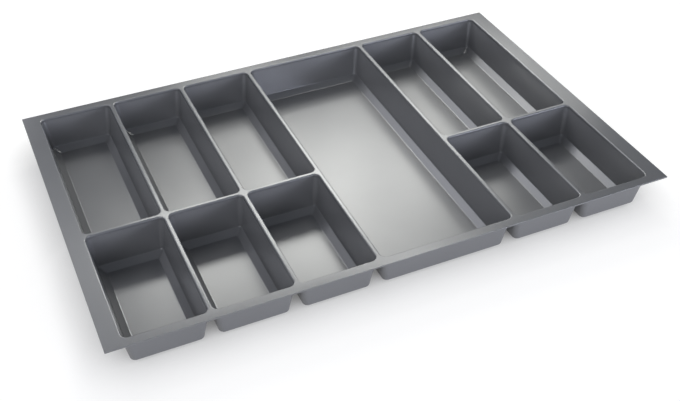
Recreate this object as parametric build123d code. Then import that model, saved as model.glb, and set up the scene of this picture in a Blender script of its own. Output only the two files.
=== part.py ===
from build123d import *
import math
import os
from collections import namedtuple

# Cutlery tray for a kitchen drawer, formed from one plastic sheet, in millimetres.
# +X runs to the right, +Y to the back and +Z up. The origin lies under the middle of the
# tray, on the ground that the pockets stand on.
# Eleven drafted pockets hang from a flat rim. The ribs between them are folds of the sheet,
# hollow from below. The rim with its ribs is one sub-part and every pocket is another. They
# meet face to face along a level seam, a little under the mouth edges.

# Whole tray
tray_width = 726
tray_depth = 474
tray_height = 52
sheet_thickness = 1.8

# Layout of the mouths in the rim plane, measured between sharp edges, before they are broken.
# The columns share the width, and the rows the depth, that the margins and ribs leave over
side_margin = 22
end_margin = 12.7
rib_width = 5.5
left_column_count = 3
right_column_count = 2
left_pocket_share = 0.1482
right_pocket_share = 0.1436
front_pocket_share = 0.4041

# Section of a pocket: drafted wall, bevel around the floor, flat floor
wall_draft_angle = 9.5
bevel_width = 9
bevel_height = 6.2
mouth_corner_radius = 7.3

# The edges of the mouths are broken, which leaves a land along this share of each rib
rib_land_share = 0.4

# Wall that the rim keeps below its sheet, down to the seam
collar_length = 2

# The mouth cutters stand this far over the rim plane
cutter_overrun = 1

Pocket = namedtuple("Pocket", "name left right front back")

draft_slope = math.radians(wall_draft_angle)
wall_slope = math.pi / 2 - draft_slope
bevel_slope = math.atan2(bevel_height, bevel_width)
shared_width = (
    tray_width - 2 * side_margin - (left_column_count + right_column_count) * rib_width
)
left_pocket_width = left_pocket_share * shared_width
right_pocket_width = right_pocket_share * shared_width
centre_pocket_width = (
    shared_width - left_column_count * left_pocket_width - right_column_count * right_pocket_width
)
front_pocket_length = front_pocket_share * (tray_depth - 2 * end_margin - rib_width)

mouth_chamfer = rib_width * (1 - rib_land_share) / 2
seam_height = tray_height - sheet_thickness - collar_length


def wall_inset(height):
    """How far the inner wall has come in from the mouth's sharp edge at this height."""
    return (tray_height - height) * math.tan(draft_slope)


def corner_radius(skin):
    """Radius of a wall's rounded corner in the seam plane, grown by a level skin."""
    return mouth_corner_radius - wall_inset(seam_height) + skin


def upright_section(first, last, slope, bottom, top):
    """Section between two edges at the bottom that lean outward at a slope up to the top."""
    spread = (top - bottom) / math.tan(slope)
    return make_face(
        Polyline(
            (first, bottom), (last, bottom), (last + spread, top), (first - spread, top), close=True
        )
    )


def sloped_form(pocket, inset, slope, bottom, corner):
    """Form with four sides of one slope, from the bottom to the seam, with rounded corners.

    A round along a sloped corner sets its level outlines back by its radius times the sine
    of the slope, so the radius is chosen for the setback that the corner has.
    """
    span_x = (pocket.left + inset, pocket.right - inset)
    span_y = (pocket.front + inset, pocket.back - inset)
    section_x = Plane.XZ * upright_section(*span_x, slope, bottom, seam_height)
    section_y = Plane.YZ * upright_section(*span_y, slope, bottom, seam_height)
    body = extrude(section_x, tray_depth, both=True) & extrude(section_y, tray_width, both=True)
    return fillet(body.edges().filter_by(Plane.XY, reverse=True), corner / math.sin(slope))


def pocket_form(pocket, skin):
    """A pocket's hollow, or its outside where the skin is the sheet's thickness."""
    bottom = sheet_thickness - skin
    level_skin = skin / math.cos(draft_slope)
    bevel_inset = wall_inset(sheet_thickness + bevel_height) + bevel_width
    bevel_inset = bevel_inset - skin * math.tan(bevel_slope / 2)
    corner = corner_radius(level_skin)
    walls = sloped_form(pocket, wall_inset(bottom) - level_skin, wall_slope, bottom, corner)
    return walls & sloped_form(pocket, bevel_inset, bevel_slope, bottom, corner)


def pocket_tub(pocket):
    """One pocket below the seam: four drafted walls, the bevel and the floor."""
    return pocket_form(pocket, sheet_thickness) - pocket_form(pocket, 0)


def collar_form(pocket, top, skin):
    """Drafted form of a mouth from the seam up, whose round corners are parts of cones."""
    level_skin = skin / math.cos(draft_slope)
    inset = wall_inset(seam_height) - level_skin
    outline = RectangleRounded(
        pocket.right - pocket.left - 2 * inset,
        pocket.back - pocket.front - 2 * inset,
        corner_radius(level_skin),
    )
    middle = ((pocket.left + pocket.right) / 2, (pocket.front + pocket.back) / 2, seam_height)
    seam = Plane(middle)
    body = extrude(seam * outline, top - seam_height)
    sides = body.faces().sort_by(Axis.Z)[1:-1]
    return draft(sides, seam, -wall_draft_angle)


def mouth_edges(sheet):
    """Edges round the openings of the sheet's top face, without its outer border."""
    top_face = sheet.faces().sort_by(Axis.Z)[-1]
    return ShapeList(edge for wire in top_face.inner_wires() for edge in wire.edges())


def rim(pockets):
    """The flat rim with its ribs: mouths with broken edges, and a collar down to each seam."""
    mid_sheet = tray_height - sheet_thickness / 2
    sheet = Pos(0, 0, mid_sheet) * Box(tray_width, tray_depth, sheet_thickness)
    for pocket in pockets:
        sheet += collar_form(pocket, mid_sheet, sheet_thickness)
    for pocket in pockets:
        sheet -= collar_form(pocket, tray_height + cutter_overrun, 0)
    return chamfer(mouth_edges(sheet), mouth_chamfer)


def column_edges():
    """Left and right mouth edges of every column of pockets, from left to right."""
    widths = (
        [left_pocket_width] * left_column_count
        + [centre_pocket_width]
        + [right_pocket_width] * right_column_count
    )
    edges = []
    left = -tray_width / 2 + side_margin
    for width in widths:
        edges.append((left, left + width))
        left = left + width + rib_width
    return edges


def wing_pockets(side, edges):
    """A short front pocket and a long back pocket for each column of one wing."""
    front = -tray_depth / 2 + end_margin
    divider = front + front_pocket_length
    back = tray_depth / 2 - end_margin
    pockets = []
    for number, (left, right) in enumerate(edges, start=1):
        pockets.append(Pocket(f"{side}_front_pocket_{number}", left, right, front, divider))
        pockets.append(
            Pocket(f"{side}_back_pocket_{number}", left, right, divider + rib_width, back)
        )
    return pockets


def all_pockets():
    """Every pocket of the tray: the left wing, the full-length centre one, the right wing."""
    edges = column_edges()
    left, right = edges[left_column_count]
    reach = tray_depth / 2 - end_margin
    return (
        wing_pockets("left", edges[:left_column_count])
        + [Pocket("centre_pocket", left, right, -reach, reach)]
        + wing_pockets("right", edges[left_column_count + 1 :])
    )


def build():
    """Write the rim and every pocket, each as its own named part."""
    pockets = all_pockets()
    parts = {"rim": rim(pockets)}
    for pocket in pockets:
        parts[pocket.name] = pocket_tub(pocket)
    os.makedirs("parts", exist_ok=True)
    for name, part in parts.items():
        export_step(part, f"parts/{name}.step")


build()
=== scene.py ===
import logging
import math
from dataclasses import dataclass
from enum import Enum

import bmesh
import bpy
from mathutils import Matrix, Vector


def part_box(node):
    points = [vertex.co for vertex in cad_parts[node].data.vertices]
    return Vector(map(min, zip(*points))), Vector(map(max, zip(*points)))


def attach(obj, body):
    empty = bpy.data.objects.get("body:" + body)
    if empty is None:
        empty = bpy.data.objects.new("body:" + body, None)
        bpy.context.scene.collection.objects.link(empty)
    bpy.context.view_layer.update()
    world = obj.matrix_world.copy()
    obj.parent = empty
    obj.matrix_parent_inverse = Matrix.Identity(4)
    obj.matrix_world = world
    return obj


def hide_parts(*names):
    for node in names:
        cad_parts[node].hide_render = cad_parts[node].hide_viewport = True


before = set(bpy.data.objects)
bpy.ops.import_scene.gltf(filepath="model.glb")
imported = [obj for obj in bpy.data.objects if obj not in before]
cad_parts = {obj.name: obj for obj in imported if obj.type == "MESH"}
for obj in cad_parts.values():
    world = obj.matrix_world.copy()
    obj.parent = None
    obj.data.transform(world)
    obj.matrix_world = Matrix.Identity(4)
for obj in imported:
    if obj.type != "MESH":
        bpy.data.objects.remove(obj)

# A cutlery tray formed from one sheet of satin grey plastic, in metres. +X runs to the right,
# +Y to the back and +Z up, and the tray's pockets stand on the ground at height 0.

LOG = logging.getLogger("cutlery_tray")
MM = 0.001

Colour = tuple[float, float, float, float]
Point = tuple[float, float, float]
Loop = list[bmesh.types.BMEdge]

BLACK: Colour = (0, 0, 0, 1)
NOISE_MIDDLE = 0.5
RUBBED = 1


class Signal:
    """One output socket of a shader graph, on which Python's operators add Math nodes."""

    def __init__(self, graph: "ShaderGraph", socket: bpy.types.NodeSocket) -> None:
        """Wraps a socket.

        Args:
            graph: the graph that the socket belongs to.
            socket: an output of one of its nodes.
        """
        self.graph = graph
        self.socket = socket

    def _math(self, operation: str, first: "Signal | float", second: "Signal | float") -> "Signal":
        """Adds one Math node.

        Args:
            operation: the Math node's operation.
            first: its first value.
            second: its second value.

        Returns:
            The node's result.
        """
        node = self.graph.node("ShaderNodeMath", {"operation": operation}, {0: first, 1: second})
        return Signal(self.graph, node.outputs[0])

    def __add__(self, other: "Signal | float") -> "Signal":
        """This plus other."""
        return self._math("ADD", self, other)

    def __radd__(self, other: "Signal | float") -> "Signal":
        """Other plus this."""
        return self._math("ADD", other, self)

    def __sub__(self, other: "Signal | float") -> "Signal":
        """This less other."""
        return self._math("SUBTRACT", self, other)

    def __rsub__(self, other: "Signal | float") -> "Signal":
        """Other less this."""
        return self._math("SUBTRACT", other, self)

    def __mul__(self, other: "Signal | float") -> "Signal":
        """This times other."""
        return self._math("MULTIPLY", self, other)

    def __rmul__(self, other: "Signal | float") -> "Signal":
        """Other times this."""
        return self._math("MULTIPLY", other, self)


class ShaderGraph:
    """The node tree of one material or of the world."""

    def __init__(self, tree: bpy.types.NodeTree) -> None:
        """Empties a node tree to build in.

        Args:
            tree: the tree of a material or of the world.
        """
        self.tree = tree
        tree.nodes.clear()

    def node(
        self,
        kind: str,
        settings: dict[str, object] | None = None,
        sockets: dict[str | int, object] | None = None,
    ) -> bpy.types.Node:
        """Adds a node, sets it up and fills its sockets.

        Args:
            kind: the node's type.
            settings: its properties, which are set first.
            sockets: a value, a Signal or an output socket for each input, by name or number.

        Returns:
            The new node.
        """
        node = self.tree.nodes.new(kind)
        for name, value in (settings or {}).items():
            setattr(node, name, value)
        for key, value in (sockets or {}).items():
            socket = node.inputs[key]
            if isinstance(value, Signal):
                self.tree.links.new(value.socket, socket)
            elif isinstance(value, bpy.types.NodeSocket):
                self.tree.links.new(value, socket)
            else:
                socket.default_value = value
        return node

    def signal(self, node: bpy.types.Node, output: str | int = 0) -> Signal:
        """One output of a node, ready for arithmetic."""
        return Signal(self, node.outputs[output])

    def smooth_step(self, value: Signal, low: float, high: float) -> Signal:
        """A soft step from 0 at low to 1 at high.

        Args:
            value: what is compared.
            low: where the step starts.
            high: where it ends.

        Returns:
            The step, from 0 to 1.
        """
        sockets = {"Value": value, "From Min": low, "From Max": high}
        settings = {"interpolation_type": "SMOOTHSTEP"}
        return self.signal(self.node("ShaderNodeMapRange", settings, sockets), "Result")

    def blend(
        self,
        share: Signal,
        first: Colour | bpy.types.NodeSocket,
        second: Colour | bpy.types.NodeSocket,
    ) -> Signal:
        """Mixes two colours.

        Args:
            share: 0 gives the first colour and 1 the second.
            first: a colour with alpha, or an output socket that gives one.
            second: the other colour, in the same way.

        Returns:
            The mixed colour.
        """
        # The Mix node has a socket called A, B and Result for each kind of data.
        colour_a, colour_b, colour_result = 6, 7, 2
        sockets = {"Factor": share, colour_a: first, colour_b: second}
        node = self.node("ShaderNodeMix", {"data_type": "RGBA"}, sockets)
        return self.signal(node, colour_result)

    def output(self, shader: bpy.types.Node, kind: str = "ShaderNodeOutputMaterial") -> None:
        """Joins a shader to the tree's output node."""
        self.node(kind, sockets={"Surface": shader.outputs[0]})


@dataclass(frozen=True)
class NoisePlan:
    """A fractal noise: the size of its largest features, in metres, and its octaves."""

    pitch: float
    octaves: int

    def signal(self, graph: ShaderGraph, place: bpy.types.NodeSocket) -> Signal:
        """Adds the noise to a graph.

        Args:
            graph: the graph that it goes into.
            place: the coordinates that it reads.

        Returns:
            The noise value, from 0 to 1.
        """
        sockets = {"Vector": place, "Scale": 1 / self.pitch, "Detail": self.octaves}
        return graph.signal(graph.node("ShaderNodeTexNoise", sockets=sockets))


@dataclass(frozen=True)
class BumpPlan:
    """How far a height of 1 lifts the surface, in metres, and how strongly it shows."""

    depth: float
    strength: float

    def normal(
        self,
        graph: ShaderGraph,
        height: Signal,
        beneath: bpy.types.NodeSocket | None = None,
    ) -> bpy.types.NodeSocket:
        """Adds the bump to a graph.

        Args:
            graph: the graph that it goes into.
            height: the height that it follows, from 0 to 1.
            beneath: the normal of the coarser bump that it lies on, where there is one.

        Returns:
            The bumped normal.
        """
        sockets = {"Height": height, "Strength": self.strength, "Distance": self.depth}
        if beneath is not None:
            sockets["Normal"] = beneath
        return graph.node("ShaderNodeBump", sockets=sockets).outputs[0]


@dataclass(frozen=True)
class SatinSheet:
    """Silver-grey formed plastic with a satin, finely grained face, in metres.

    Forming stretches the walls between the foot and the rolled mouth, which leaves them a
    little smoother and glossier than the floor and the rim. Rubbed edges are glossier too.
    The roughness was lowered from 0.27 to 0.264, because the renderer's denoiser draws
    outlines on the floors where it passes a level a little above that.
    """

    dark_colour: Colour = (0.252, 0.255, 0.261, 1)
    pale_colour: Colour = (0.294, 0.297, 0.303, 1)
    metallic: float = 0.4
    specular: float = 0.42
    roughness: float = 0.264
    roughness_swing: float = 0.03
    stretched_gloss: float = 0.02
    rubbed_gloss: float = 0.03
    cloud: NoisePlan = NoisePlan(70 * MM, 2)
    speckle: NoisePlan = NoisePlan(0.9 * MM, 1)
    speckle_share: float = 0.35
    drift: NoisePlan = NoisePlan(140 * MM, 3)
    wave: NoisePlan = NoisePlan(45 * MM, 1)
    wave_bump: BumpPlan = BumpPlan(0.12 * MM, 0.25)
    grain: NoisePlan = NoisePlan(0.55 * MM, 2)
    grain_bump: BumpPlan = BumpPlan(0.012 * MM, 0.35)
    stretched_grain_loss: float = 0.6
    foot_height: float = 10 * MM
    roll_height: float = 49 * MM
    fade: float = 3 * MM
    rub_attribute: str = "rub"

    def stretched_wall(self, graph: ShaderGraph, place: bpy.types.NodeSocket) -> Signal:
        """Where the sheet is stretched.

        Args:
            graph: the material's graph.
            place: the object's coordinates.

        Returns:
            1 on the walls and 0 on the floor and the rim.
        """
        height = graph.signal(graph.node("ShaderNodeSeparateXYZ", sockets={0: place}), "Z")
        above_foot = graph.smooth_step(height, self.foot_height - self.fade, self.foot_height)
        in_roll = graph.smooth_step(height, self.roll_height - self.fade, self.roll_height)
        return above_foot * (1 - in_roll)

    def colour(self, graph: ShaderGraph, place: bpy.types.NodeSocket) -> Signal:
        """The plastic's colour, with its faint clouds and speckles.

        Args:
            graph: the material's graph.
            place: the object's coordinates.

        Returns:
            The colour.
        """
        cloud, speckle = self.cloud.signal(graph, place), self.speckle.signal(graph, place)
        shade = cloud * (1 - self.speckle_share) + speckle * self.speckle_share
        return graph.blend(shade, self.dark_colour, self.pale_colour)

    def satin(self, graph: ShaderGraph, place: bpy.types.NodeSocket, stretched: Signal) -> Signal:
        """The roughness, which drifts a little and drops on stretched walls and rubbed edges.

        Args:
            graph: the material's graph.
            place: the object's coordinates.
            stretched: 1 where the sheet is stretched.

        Returns:
            The roughness.
        """
        attribute = graph.node("ShaderNodeAttribute", {"attribute_name": self.rub_attribute})
        rubbed = graph.signal(attribute, "Fac")
        drift = self.drift.signal(graph, place) - NOISE_MIDDLE
        return (
            drift * self.roughness_swing
            + self.roughness
            - stretched * self.stretched_gloss
            - rubbed * self.rubbed_gloss
        )

    def relief(
        self, graph: ShaderGraph, place: bpy.types.NodeSocket, stretched: Signal
    ) -> bpy.types.NodeSocket:
        """The sheet's slow waves, with the grain of its face on them.

        Args:
            graph: the material's graph.
            place: the object's coordinates.
            stretched: 1 where the sheet is stretched.

        Returns:
            The normal.
        """
        grain = self.grain.signal(graph, place) * (1 - self.stretched_grain_loss * stretched)
        waved = self.wave_bump.normal(graph, self.wave.signal(graph, place))
        return self.grain_bump.normal(graph, grain, waved)

    def material(self, name: str) -> bpy.types.Material:
        """Builds the plastic.

        Args:
            name: the material's name.

        Returns:
            The new material.
        """
        material = bpy.data.materials.new(name)
        material.use_nodes = True
        graph = ShaderGraph(material.node_tree)
        place = graph.node("ShaderNodeTexCoord").outputs["Object"]
        stretched = self.stretched_wall(graph, place)
        sockets = {
            "Base Color": self.colour(graph, place),
            "Roughness": self.satin(graph, place, stretched),
            "Metallic": self.metallic,
            "Specular IOR Level": self.specular,
            "Normal": self.relief(graph, place, stretched),
        }
        graph.output(graph.node("ShaderNodeBsdfPrincipled", sockets=sockets))
        return material


@dataclass(frozen=True)
class Level:
    """One level outline of a pocket or of the rim: a rounded rectangle, in metres."""

    inset: float
    height: float
    plan_radius: float
    rub: float = 0


@dataclass(frozen=True)
class Corner:
    """One corner of a section before it is folded round, in metres."""

    inset: float
    height: float
    plan_radius: float
    fold: float = 0
    rub: float = 0


def mix(first: float, second: float, share: float) -> float:
    """The value a given share of the way from first to second."""
    return first + (second - first) * share


def fold_arc(before: Corner, here: Corner, after: Corner, steps: int) -> list[Level]:
    """Rounds one corner of a section.

    Args:
        before: the corner that comes before it.
        here: the corner itself, with the radius of its fold.
        after: the corner that comes after it.
        steps: how many short runs the fold has.

    Returns:
        The levels along the fold.
    """
    spot = Vector((here.inset, here.height))
    back = Vector((before.inset, before.height)) - spot
    ahead = Vector((after.inset, after.height)) - spot
    turn = math.pi - back.angle(ahead)
    setback = here.fold * math.tan(turn / 2)
    start_radius = mix(here.plan_radius, before.plan_radius, setback / back.length)
    end_radius = mix(here.plan_radius, after.plan_radius, setback / ahead.length)
    middle = back.normalized() + ahead.normalized()
    centre = spot + middle.normalized() * (here.fold / math.cos(turn / 2))
    spoke = spot + back.normalized() * setback - centre
    side = -1 if spoke.cross(ahead) < 0 else 1
    levels = []
    for step in range(steps + 1):
        share = step / steps
        point = centre + Matrix.Rotation(side * turn * share, 2) @ spoke
        levels.append(Level(point.x, point.y, mix(start_radius, end_radius, share), here.rub))
    return levels


def folded(corners: list[Corner], steps: int) -> list[Level]:
    """Rounds the corners of a section and lists the levels that follow it.

    Args:
        corners: the section's corners in order; the first and the last stay sharp.
        steps: how many short runs each fold has.

    Returns:
        The levels, with an arc for each fold.
    """
    first, last = corners[0], corners[-1]
    levels = [Level(first.inset, first.height, first.plan_radius)]
    for before, here, after in zip(corners, corners[1:], corners[2:]):
        levels += fold_arc(before, here, after, steps)
    levels.append(Level(last.inset, last.height, last.plan_radius))
    return levels


@dataclass(frozen=True)
class Area:
    """A rectangle in plan, in metres."""

    left: float
    right: float
    front: float
    back: float

    def corners(self, inset: float, height: float) -> list[Vector]:
        """The rectangle's corners, drawn in by an inset.

        Args:
            inset: how far each side comes in.
            height: the level that they lie at.

        Returns:
            The corners, anticlockwise from the front left.
        """
        left, right = self.left + inset, self.right - inset
        front, back = self.front + inset, self.back - inset
        plan = ((left, front), (right, front), (right, back), (left, back))
        return [Vector((x, y, height)) for x, y in plan]


@dataclass(frozen=True)
class SheetSection:
    """How the sheet is folded between the rim and a pocket's floor, in metres.

    Insets count inwards from the mouth's sharp outline in the rim plane. A section that ends
    on a flat face has its end a little way out on that face, by the flat reach, so that the
    last fold has a side to run into.
    """

    rim_height: float
    seam_height: float
    thickness: float = 1.8 * MM
    draft: float = math.radians(9.5)
    bevel_width: float = 9 * MM
    bevel_height: float = 6.2 * MM
    mouth_corner: float = 7.3 * MM
    bevel_corner: float = 4.5 * MM
    floor_corner: float = 3.2 * MM
    roll_setback: float = 1.5 * MM
    under_fold: float = 0.8 * MM
    under_reach: float = 1.2 * MM
    bevel_fold: float = 2 * MM
    floor_fold: float = 2.4 * MM
    flat_reach: float = 6 * MM

    @property
    def skin(self) -> float:
        """The sheet's thickness measured level, through the drafted wall."""
        return self.thickness / math.cos(self.draft)

    @property
    def roll_radius(self) -> float:
        """Radius of the rolled mouth edge."""
        return self.roll_setback / math.tan((math.pi / 2 - self.draft) / 2)

    @property
    def foot_height(self) -> float:
        """Height at which the inner wall meets the bevel."""
        return self.thickness + self.bevel_height

    @property
    def floor_inset(self) -> float:
        """Inset at which the bevel meets the floor."""
        return self.wall_inset(self.foot_height) + self.bevel_width

    def wall_inset(self, height: float) -> float:
        """How far the inner wall has come in from the mouth at a height."""
        return (self.rim_height - height) * math.tan(self.draft)

    def wall_corner(self, height: float) -> float:
        """Plan radius of the inner wall's upright corner.

        Args:
            height: the level that it is measured at.

        Returns:
            The radius, between those at the mouth and at the bevel.
        """
        wall_height = self.rim_height - self.thickness - self.bevel_height
        share = (self.rim_height - height) / wall_height
        return mix(self.mouth_corner, self.bevel_corner, share)

    def mouth_side(self) -> list[Corner]:
        """Upper face of the rim's fold.

        Returns:
            Its corners, from the flat over the mouth edge down to the seam.
        """
        top, seam = self.rim_height, self.seam_height
        return [
            Corner(-self.flat_reach, top, self.mouth_corner + self.flat_reach),
            Corner(0, top, self.mouth_corner, self.roll_radius, RUBBED),
            Corner(self.wall_inset(seam), seam, self.wall_corner(seam)),
        ]

    def collar_side(self) -> list[Corner]:
        """Under face of the rim's fold.

        Returns:
            Its corners, from the flat underside to the seam.
        """
        under, seam = self.rim_height - self.thickness, self.seam_height
        inset = self.wall_inset(under) - self.skin
        radius = self.mouth_corner + self.thickness
        seam_radius = self.wall_corner(seam) + self.thickness
        return [
            Corner(inset - self.under_reach, under, radius + self.under_reach),
            Corner(inset, under, radius, self.under_fold),
            Corner(self.wall_inset(seam) - self.skin, seam, seam_radius),
        ]

    def hollow_side(self) -> list[Corner]:
        """Upper face of a pocket.

        Returns:
            Its corners, from the seam down the wall and over the bevel to the floor.
        """
        seam, foot, floor = self.seam_height, self.foot_height, self.thickness
        return [
            Corner(self.wall_inset(seam), seam, self.wall_corner(seam)),
            Corner(self.wall_inset(foot), foot, self.bevel_corner, self.bevel_fold),
            Corner(self.floor_inset, floor, self.floor_corner, self.floor_fold),
            Corner(self.floor_inset + self.flat_reach, floor, self.floor_corner),
        ]

    def ground_side(self) -> list[Corner]:
        """Under face of a pocket, one thickness outside its upper face.

        Returns:
            Its corners, from the seam to the ground.
        """
        seam, growth = self.seam_height, self.thickness
        bevel_angle = math.atan2(self.bevel_height, self.bevel_width)
        wall_angle = math.pi / 2 - self.draft
        slide = growth * math.tan((wall_angle - bevel_angle) / 2)
        rise = growth * math.sin(self.draft) + slide * math.cos(self.draft)
        foot = self.foot_height - rise
        foot_inset = self.wall_inset(foot) - self.skin
        floor_inset = self.floor_inset - growth * math.tan(bevel_angle / 2)
        floor_radius = self.floor_corner + growth
        return [
            Corner(self.wall_inset(seam) - self.skin, seam, self.wall_corner(seam) + growth),
            Corner(foot_inset, foot, self.bevel_corner + growth, self.bevel_fold + growth),
            Corner(floor_inset, 0, floor_radius, self.floor_fold + growth),
            Corner(floor_inset + self.flat_reach, 0, floor_radius),
        ]


class SheetMesh:
    """A mesh that is drawn as level loops, which are then bridged and capped."""

    # Closer points are merged. The weight lets large faces lead the shading along an edge.
    MERGE_DISTANCE = 0.001 * MM
    AREA_WEIGHT = 100
    ROUND_PROFILE = 0.5

    def __init__(self, corner_steps: int, rub_attribute: str) -> None:
        """Starts an empty mesh.

        Args:
            corner_steps: short runs in each rounded corner, seen in plan.
            rub_attribute: name of the point attribute that marks rubbed edges.
        """
        self.mesh = bmesh.new()
        self.corner_steps = corner_steps
        self.rub = self.mesh.verts.layers.float.new(rub_attribute)

    def loop(self, area: Area, level: Level) -> Loop:
        """Draws one rounded rectangle.

        Args:
            area: the rectangle that its inset is measured from.
            level: its inset, height, corner radius and rub.

        Returns:
            The edges of the loop.
        """
        corners = [self.mesh.verts.new(spot) for spot in area.corners(level.inset, level.height)]
        self.mesh.faces.new(corners)
        rounded = bmesh.ops.bevel(
            self.mesh,
            geom=corners,
            offset=level.plan_radius,
            offset_type="OFFSET",
            segments=self.corner_steps,
            profile=self.ROUND_PROFILE,
            affect="VERTICES",
            material=-1,
        )
        face = rounded["verts"][0].link_faces[0]
        edges = list(face.edges)
        for vertex in face.verts:
            vertex[self.rub] = level.rub
        bmesh.ops.delete(self.mesh, geom=[face], context="FACES_ONLY")
        return edges

    def skin(self, area: Area, levels: list[Level]) -> tuple[Loop, Loop]:
        """Bridges a run of levels.

        Args:
            area: the rectangle that the insets are measured from.
            levels: the levels in order.

        Returns:
            The first and the last loop.
        """
        loops = [self.loop(area, level) for level in levels]
        for upper, lower in zip(loops, loops[1:]):
            bmesh.ops.bridge_loops(self.mesh, edges=upper + lower)
        return loops[0], loops[-1]

    def cap(self, loop: Loop) -> None:
        """Closes one loop by a flat face."""
        bmesh.ops.contextual_create(self.mesh, geom=loop)

    def plate(self, loops: list[Loop]) -> None:
        """Fills the level space between an outer loop and the loops inside it."""
        edges = [edge for loop in loops for edge in loop]
        bmesh.ops.triangle_fill(self.mesh, use_beauty=True, use_dissolve=False, edges=edges)

    def piece(self, name: str, material: bpy.types.Material) -> bpy.types.Object:
        """Ends the mesh and makes its object.

        Args:
            name: the piece's name.
            material: its finish.

        Returns:
            The finished piece, at the origin.
        """
        bmesh.ops.remove_doubles(self.mesh, verts=self.mesh.verts, dist=self.MERGE_DISTANCE)
        bmesh.ops.recalc_face_normals(self.mesh, faces=self.mesh.faces)
        for face in self.mesh.faces:
            face.smooth = True
        data = bpy.data.meshes.new(name)
        self.mesh.to_mesh(data)
        self.mesh.free()
        data.materials.append(material)
        piece = bpy.data.objects.new(name, data)
        bpy.context.scene.collection.objects.link(piece)
        shading = piece.modifiers.new("even_shading", "WEIGHTED_NORMAL")
        shading.mode = "FACE_AREA"
        shading.weight = self.AREA_WEIGHT
        shading.keep_sharp = True
        return piece


def mouth_area(node: str, section: SheetSection) -> Area:
    """The sharp outline of a pocket's mouth in the rim plane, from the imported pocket.

    Args:
        node: the pocket's node, whose box ends at the outside of the wall at the seam.
        section: the sheet's section.

    Returns:
        The mouth's rectangle.
    """
    low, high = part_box(node)
    growth = section.wall_inset(section.seam_height) - section.skin
    return Area(low[0] - growth, high[0] + growth, low[1] - growth, high[1] + growth)


@dataclass
class PocketTub:
    """One pocket below the seam: four drafted walls, the bevel and the floor."""

    node: str
    section: SheetSection
    corner_steps: int = 14
    fold_steps: int = 5

    def build(self, material: bpy.types.Material, rub_attribute: str) -> bpy.types.Object:
        """Makes the pocket and puts it in its node's place.

        Args:
            material: its finish.
            rub_attribute: name of the point attribute that marks rubbed edges.

        Returns:
            The pocket's piece.
        """
        area = mouth_area(self.node, self.section)
        mesh = SheetMesh(self.corner_steps, rub_attribute)
        # The caps take the place of the ends that lie out on the flats.
        hollow = folded(self.section.hollow_side(), self.fold_steps)[:-1]
        ground = folded(self.section.ground_side(), self.fold_steps)[:-1]
        hollow_top, hollow_floor = mesh.skin(area, hollow)
        ground_top, ground_floor = mesh.skin(area, ground)
        mesh.cap(hollow_floor)
        mesh.cap(ground_floor)
        mesh.plate([hollow_top, ground_top])
        piece = mesh.piece(self.node + "_sheet", material)
        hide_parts(self.node)
        return piece


@dataclass
class Rim:
    """The flat rim, its ribs and the rolled mouths."""

    pockets: list[str]
    section: SheetSection
    node: str = "rim"
    corner_steps: int = 14
    roll_steps: int = 8
    border_steps: int = 3
    border_round: float = 0.3 * MM
    border_corner: float = 0.8 * MM

    def border(self) -> list[Level]:
        """The cut outer edge, whose two arrises are slightly rounded.

        Returns:
            Its levels, from the top face to the underside.
        """
        top = self.section.rim_height
        under = top - self.section.thickness
        reach = self.section.flat_reach
        corners = [
            Corner(reach, top, self.border_corner),
            Corner(0, top, self.border_corner, self.border_round, RUBBED),
            Corner(0, under, self.border_corner, self.border_round, RUBBED),
            Corner(reach, under, self.border_corner),
        ]
        return folded(corners, self.border_steps)[1:-1]

    def build(self, material: bpy.types.Material, rub_attribute: str) -> bpy.types.Object:
        """Makes the rim and puts it in its node's place.

        Args:
            material: its finish.
            rub_attribute: name of the point attribute that marks rubbed edges.

        Returns:
            The rim's piece.
        """
        low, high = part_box(self.node)
        mesh = SheetMesh(self.corner_steps, rub_attribute)
        outline = Area(low[0], high[0], low[1], high[1])
        border_top, border_under = mesh.skin(outline, self.border())
        # The two plates take the place of the ends that lie out on the flats.
        roll = folded(self.section.mouth_side(), self.roll_steps)[1:]
        collar = folded(self.section.collar_side(), self.border_steps)[1:]
        tops, unders = [border_top], [border_under]
        for pocket in self.pockets:
            area = mouth_area(pocket, self.section)
            roll_top, roll_end = mesh.skin(area, roll)
            collar_top, collar_end = mesh.skin(area, collar)
            mesh.plate([roll_end, collar_end])
            tops.append(roll_top)
            unders.append(collar_top)
        mesh.plate(tops)
        mesh.plate(unders)
        piece = mesh.piece(self.node + "_sheet", material)
        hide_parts(self.node)
        return piece


class Lamp(Enum):
    """The studio's lamps."""

    KEY = "key"
    LEFT_BACK = "left_back"
    LEFT_FRONT = "left_front"
    LOW_FRONT = "low_front"
    CAMERA_SIDE = "camera_side"


class LampFace(Enum):
    """Width and height of a lamp's face, in metres."""

    PANEL = (0.245, 0.196)
    SMALL = (0.25, 0.25)
    LARGE = (1.2, 1.2)
    WIDE = (1.4, 1.3)
    STRIP = (1.7, 0.45)


class Reach(Enum):
    """How far from the tray a lamp hangs, in metres."""

    NEAR = 1.4
    FAR = 2.6


class Tint(Enum):
    """Colour of a lamp."""

    WARM = (1, 1, 0.95)
    COOL = (0.97, 0.98, 1.05)
    BLUE = (0.93, 0.97, 1.14)


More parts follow.
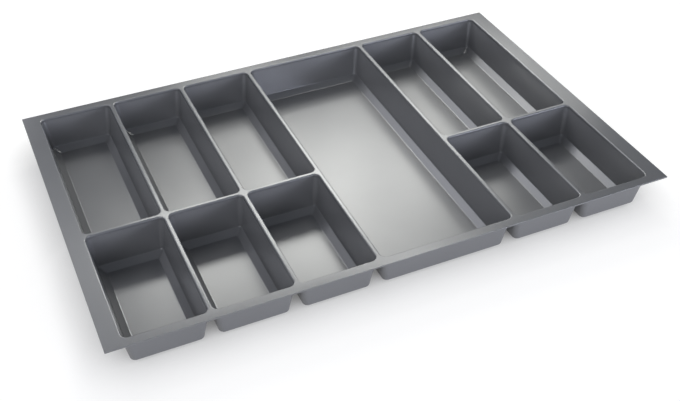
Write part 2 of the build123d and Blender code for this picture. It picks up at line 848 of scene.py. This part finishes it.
@dataclass(frozen=True)
class SoftboxPlan:
    """Where a softbox hangs, in degrees, and how bright its face is, where 1 is white.

    The bearing is 0 at the back and grows to the right. The elevation is 90 overhead.
    """

    lamp: Lamp
    bearing: float
    elevation: float
    brightness: float
    face: LampFace
    tint: Tint = Tint.COOL
    reach: Reach = Reach.FAR

    def build(self, aim: Vector) -> bpy.types.Object:
        """Hangs the softbox, facing its aim.

        Args:
            aim: the point that it faces.

        Returns:
            The lamp's object.
        """
        light = bpy.data.lights.new(self.lamp.value, "AREA")
        light.shape = "RECTANGLE"
        width, height = self.face.value
        light.size, light.size_y = width, height
        # A face that looks white gives off pi watts from each square metre.
        light.energy = self.brightness * math.pi * width * height
        light.color = self.tint.value
        bearing, elevation = math.radians(self.bearing), math.radians(self.elevation)
        level = math.cos(elevation)
        away = Vector((math.sin(bearing) * level, math.cos(bearing) * level, math.sin(elevation)))
        lamp = bpy.data.objects.new(self.lamp.value, light)
        lamp.location = aim + away * self.reach.value
        lamp.rotation_mode = "QUATERNION"
        lamp.rotation_quaternion = away.to_track_quat("Z", "Y")
        bpy.context.scene.collection.objects.link(lamp)
        return lamp


@dataclass(frozen=True)
class Viewpoint:
    """The photograph's viewpoint, fitted to the tray's own edges, in metres."""

    place: Point = (-0.42401, -0.99526, 0.83892)
    aim: Point = (-0.03552, -0.10804, 0.052)
    roll: float = math.radians(-0.563)
    focal_pixels: float = 1007.1
    frame_pixels: float = 680
    sensor: float = 36

    def build(self) -> bpy.types.Object:
        """Makes the scene's camera.

        Returns:
            The camera's object.
        """
        camera = bpy.data.cameras.new("photo_camera")
        camera.sensor_width = self.sensor
        camera.lens = self.focal_pixels / self.frame_pixels * self.sensor
        holder = bpy.data.objects.new("photo_camera", camera)
        place, aim = Vector(self.place), Vector(self.aim)
        facing = (aim - place).to_track_quat("-Z", "Y").to_matrix().to_4x4()
        turned = facing @ Matrix.Rotation(self.roll, 4, "Z")
        holder.matrix_world = Matrix.Translation(place) @ turned
        bpy.context.scene.collection.objects.link(holder)
        bpy.context.scene.camera = holder
        return holder


@dataclass(frozen=True)
class Studio:
    """Plain pale floor, soft light and the camera, in metres.

    What the camera and the tray's gloss see of the floor is lifted to plain white by its glow. The
    glow fades out under and beside the tray, within the shade's reach, which paints a soft shadow
    into it. The painted shade leans to the back, so that the front of the tray stands in less of
    it.

    The key light is a wall of panels at the back right. Each row of it has its elevation in
    degrees and the brightness of its panels from left to right, where 0 is no panel. Most of
    the lamps' brightness comes from a least-squares fit of the tray's look to the photograph,
    rounded. Eight of the 26 lamps were changed or added after it.
    """

    floor_half: float = 12
    floor_colour: Colour = (0.36, 0.357, 0.35, 1)
    floor_lift: float = 0.81
    floor_gloss_lift: float = 0.64
    shade_reach: float = 65 * MM
    shade_lean: float = math.radians(35)
    world_colour: Colour = (0.92, 0.98, 1.1, 1)
    world_light: float = 0.16
    aim: Point = (0, 0, 0.03)
    key_bearings: tuple[float, ...] = (-10, 0, 10, 20, 30, 40, 50)
    key_rows: tuple[tuple[float, tuple[float, ...]], ...] = (
        (28, (0, 0, 1.5, 0, 1.5, 3, 2)),
        (36, (0, 0.5, 2, 5, 4, 3.5, 0)),
        (44, (1, 6, 3, 5.5, 2.5, 0, 0)),
        (52, (0.5, 0, 0, 0, 0, 3, 0)),
        (60, (0, 0, 1.5, 0, 0, 4, 4.5)),
    )
    softboxes: tuple[SoftboxPlan, ...] = (
        SoftboxPlan(Lamp.LEFT_BACK, -30, 45, 1.5, LampFace.LARGE),
        SoftboxPlan(Lamp.LEFT_BACK, -20, 20, 3, LampFace.SMALL, reach=Reach.NEAR),
        SoftboxPlan(Lamp.LEFT_BACK, -20, 40, 0.5, LampFace.SMALL, reach=Reach.NEAR),
        SoftboxPlan(Lamp.LEFT_FRONT, -125, 22, 2.75, LampFace.WIDE),
        SoftboxPlan(Lamp.CAMERA_SIDE, -157, 22, 0.45, LampFace.WIDE),
        SoftboxPlan(Lamp.LOW_FRONT, 180, 9, 1.75, LampFace.STRIP, Tint.BLUE),
        SoftboxPlan(Lamp.LOW_FRONT, 145, 9, 11, LampFace.STRIP, Tint.BLUE),
    )

    def floor_material(self) -> bpy.types.Material:
        """Builds the pale floor's finish.

        Returns:
            The new material.
        """
        material = bpy.data.materials.new("pale_floor")
        material.use_nodes = True
        graph = ShaderGraph(material.node_tree)
        path = graph.node("ShaderNodeLightPath")
        seen = graph.signal(path, "Is Camera Ray") + graph.signal(path, "Is Transmission Ray")
        mirrored = graph.signal(path, "Is Glossy Ray")
        lift = seen * self.floor_lift + mirrored * self.floor_gloss_lift
        # Painted shadow: ambient occlusion near the tray darkens the floor's white glow. It is
        # gathered around a normal that leans to the front, so the painted shade leans to the back.
        open_side = {"Y": -math.sin(self.shade_lean), "Z": math.cos(self.shade_lean)}
        leaning = graph.node("ShaderNodeCombineXYZ", sockets=open_side)
        sockets = {"Distance": self.shade_reach, "Normal": leaning.outputs[0]}
        painted_floor_shadow = graph.node("ShaderNodeAmbientOcclusion", sockets=sockets)
        sockets = {
            "Base Color": self.floor_colour,
            "Roughness": 1,
            "Specular IOR Level": 0,
            "Emission Color": graph.blend(lift, BLACK, painted_floor_shadow.outputs["Color"]),
            "Emission Strength": 1,
        }
        graph.output(graph.node("ShaderNodeBsdfPrincipled", sockets=sockets))
        return material

    def floor(self) -> bpy.types.Object:
        """Lays the floor, which keeps the tray's real shadow and a painted one.

        Returns:
            The floor.
        """
        mesh = bmesh.new()
        bmesh.ops.create_grid(mesh, x_segments=1, y_segments=1, size=self.floor_half)
        data = bpy.data.meshes.new("floor")
        mesh.to_mesh(data)
        mesh.free()
        data.materials.append(self.floor_material())
        floor = bpy.data.objects.new("floor", data)
        bpy.context.scene.collection.objects.link(floor)
        return floor

    def world(self) -> bpy.types.World:
        """Sets a plain pale world.

        Returns:
            The world.
        """
        world = bpy.data.worlds.new("studio_world")
        bpy.context.scene.world = world
        world.use_nodes = True
        graph = ShaderGraph(world.node_tree)
        sockets = {"Color": self.world_colour, "Strength": self.world_light}
        background = graph.node("ShaderNodeBackground", sockets=sockets)
        graph.output(background, "ShaderNodeOutputWorld")
        return world

    def key_wall(self) -> list[SoftboxPlan]:
        """The wall of panels that is the key light.

        Returns:
            A plan for each panel, row by row.
        """
        look = (LampFace.PANEL, Tint.WARM, Reach.NEAR)
        return [
            SoftboxPlan(Lamp.KEY, bearing, elevation, brightness, *look)
            for elevation, row in self.key_rows
            for bearing, brightness in zip(self.key_bearings, row)
            if brightness
        ]

    def build(self) -> None:
        """Makes the whole studio."""
        self.floor()
        self.world()
        for softbox in (*self.key_wall(), *self.softboxes):
            softbox.build(Vector(self.aim))
        Viewpoint().build()
        bpy.context.scene.view_settings.view_transform = "Standard"


def main() -> None:
    """Builds the tray's pieces in order, then the studio."""
    logging.basicConfig(level=logging.INFO, format="%(name)s: %(message)s")
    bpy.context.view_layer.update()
    finish = SatinSheet()
    material = finish.material("satin_grey_plastic")
    rim_low, rim_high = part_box("rim")
    section = SheetSection(rim_height=rim_high[2], seam_height=rim_low[2])
    pockets = sorted(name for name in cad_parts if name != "rim")
    pieces = [Rim(pockets, section).build(material, finish.rub_attribute)]
    for pocket in pockets:
        pieces.append(PocketTub(pocket, section).build(material, finish.rub_attribute))
    for piece in pieces:
        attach(piece, "root")
        LOG.info("%s: %d faces", piece.name, len(piece.data.polygons))
    Studio().build()


if __name__ == "__main__":
    main()
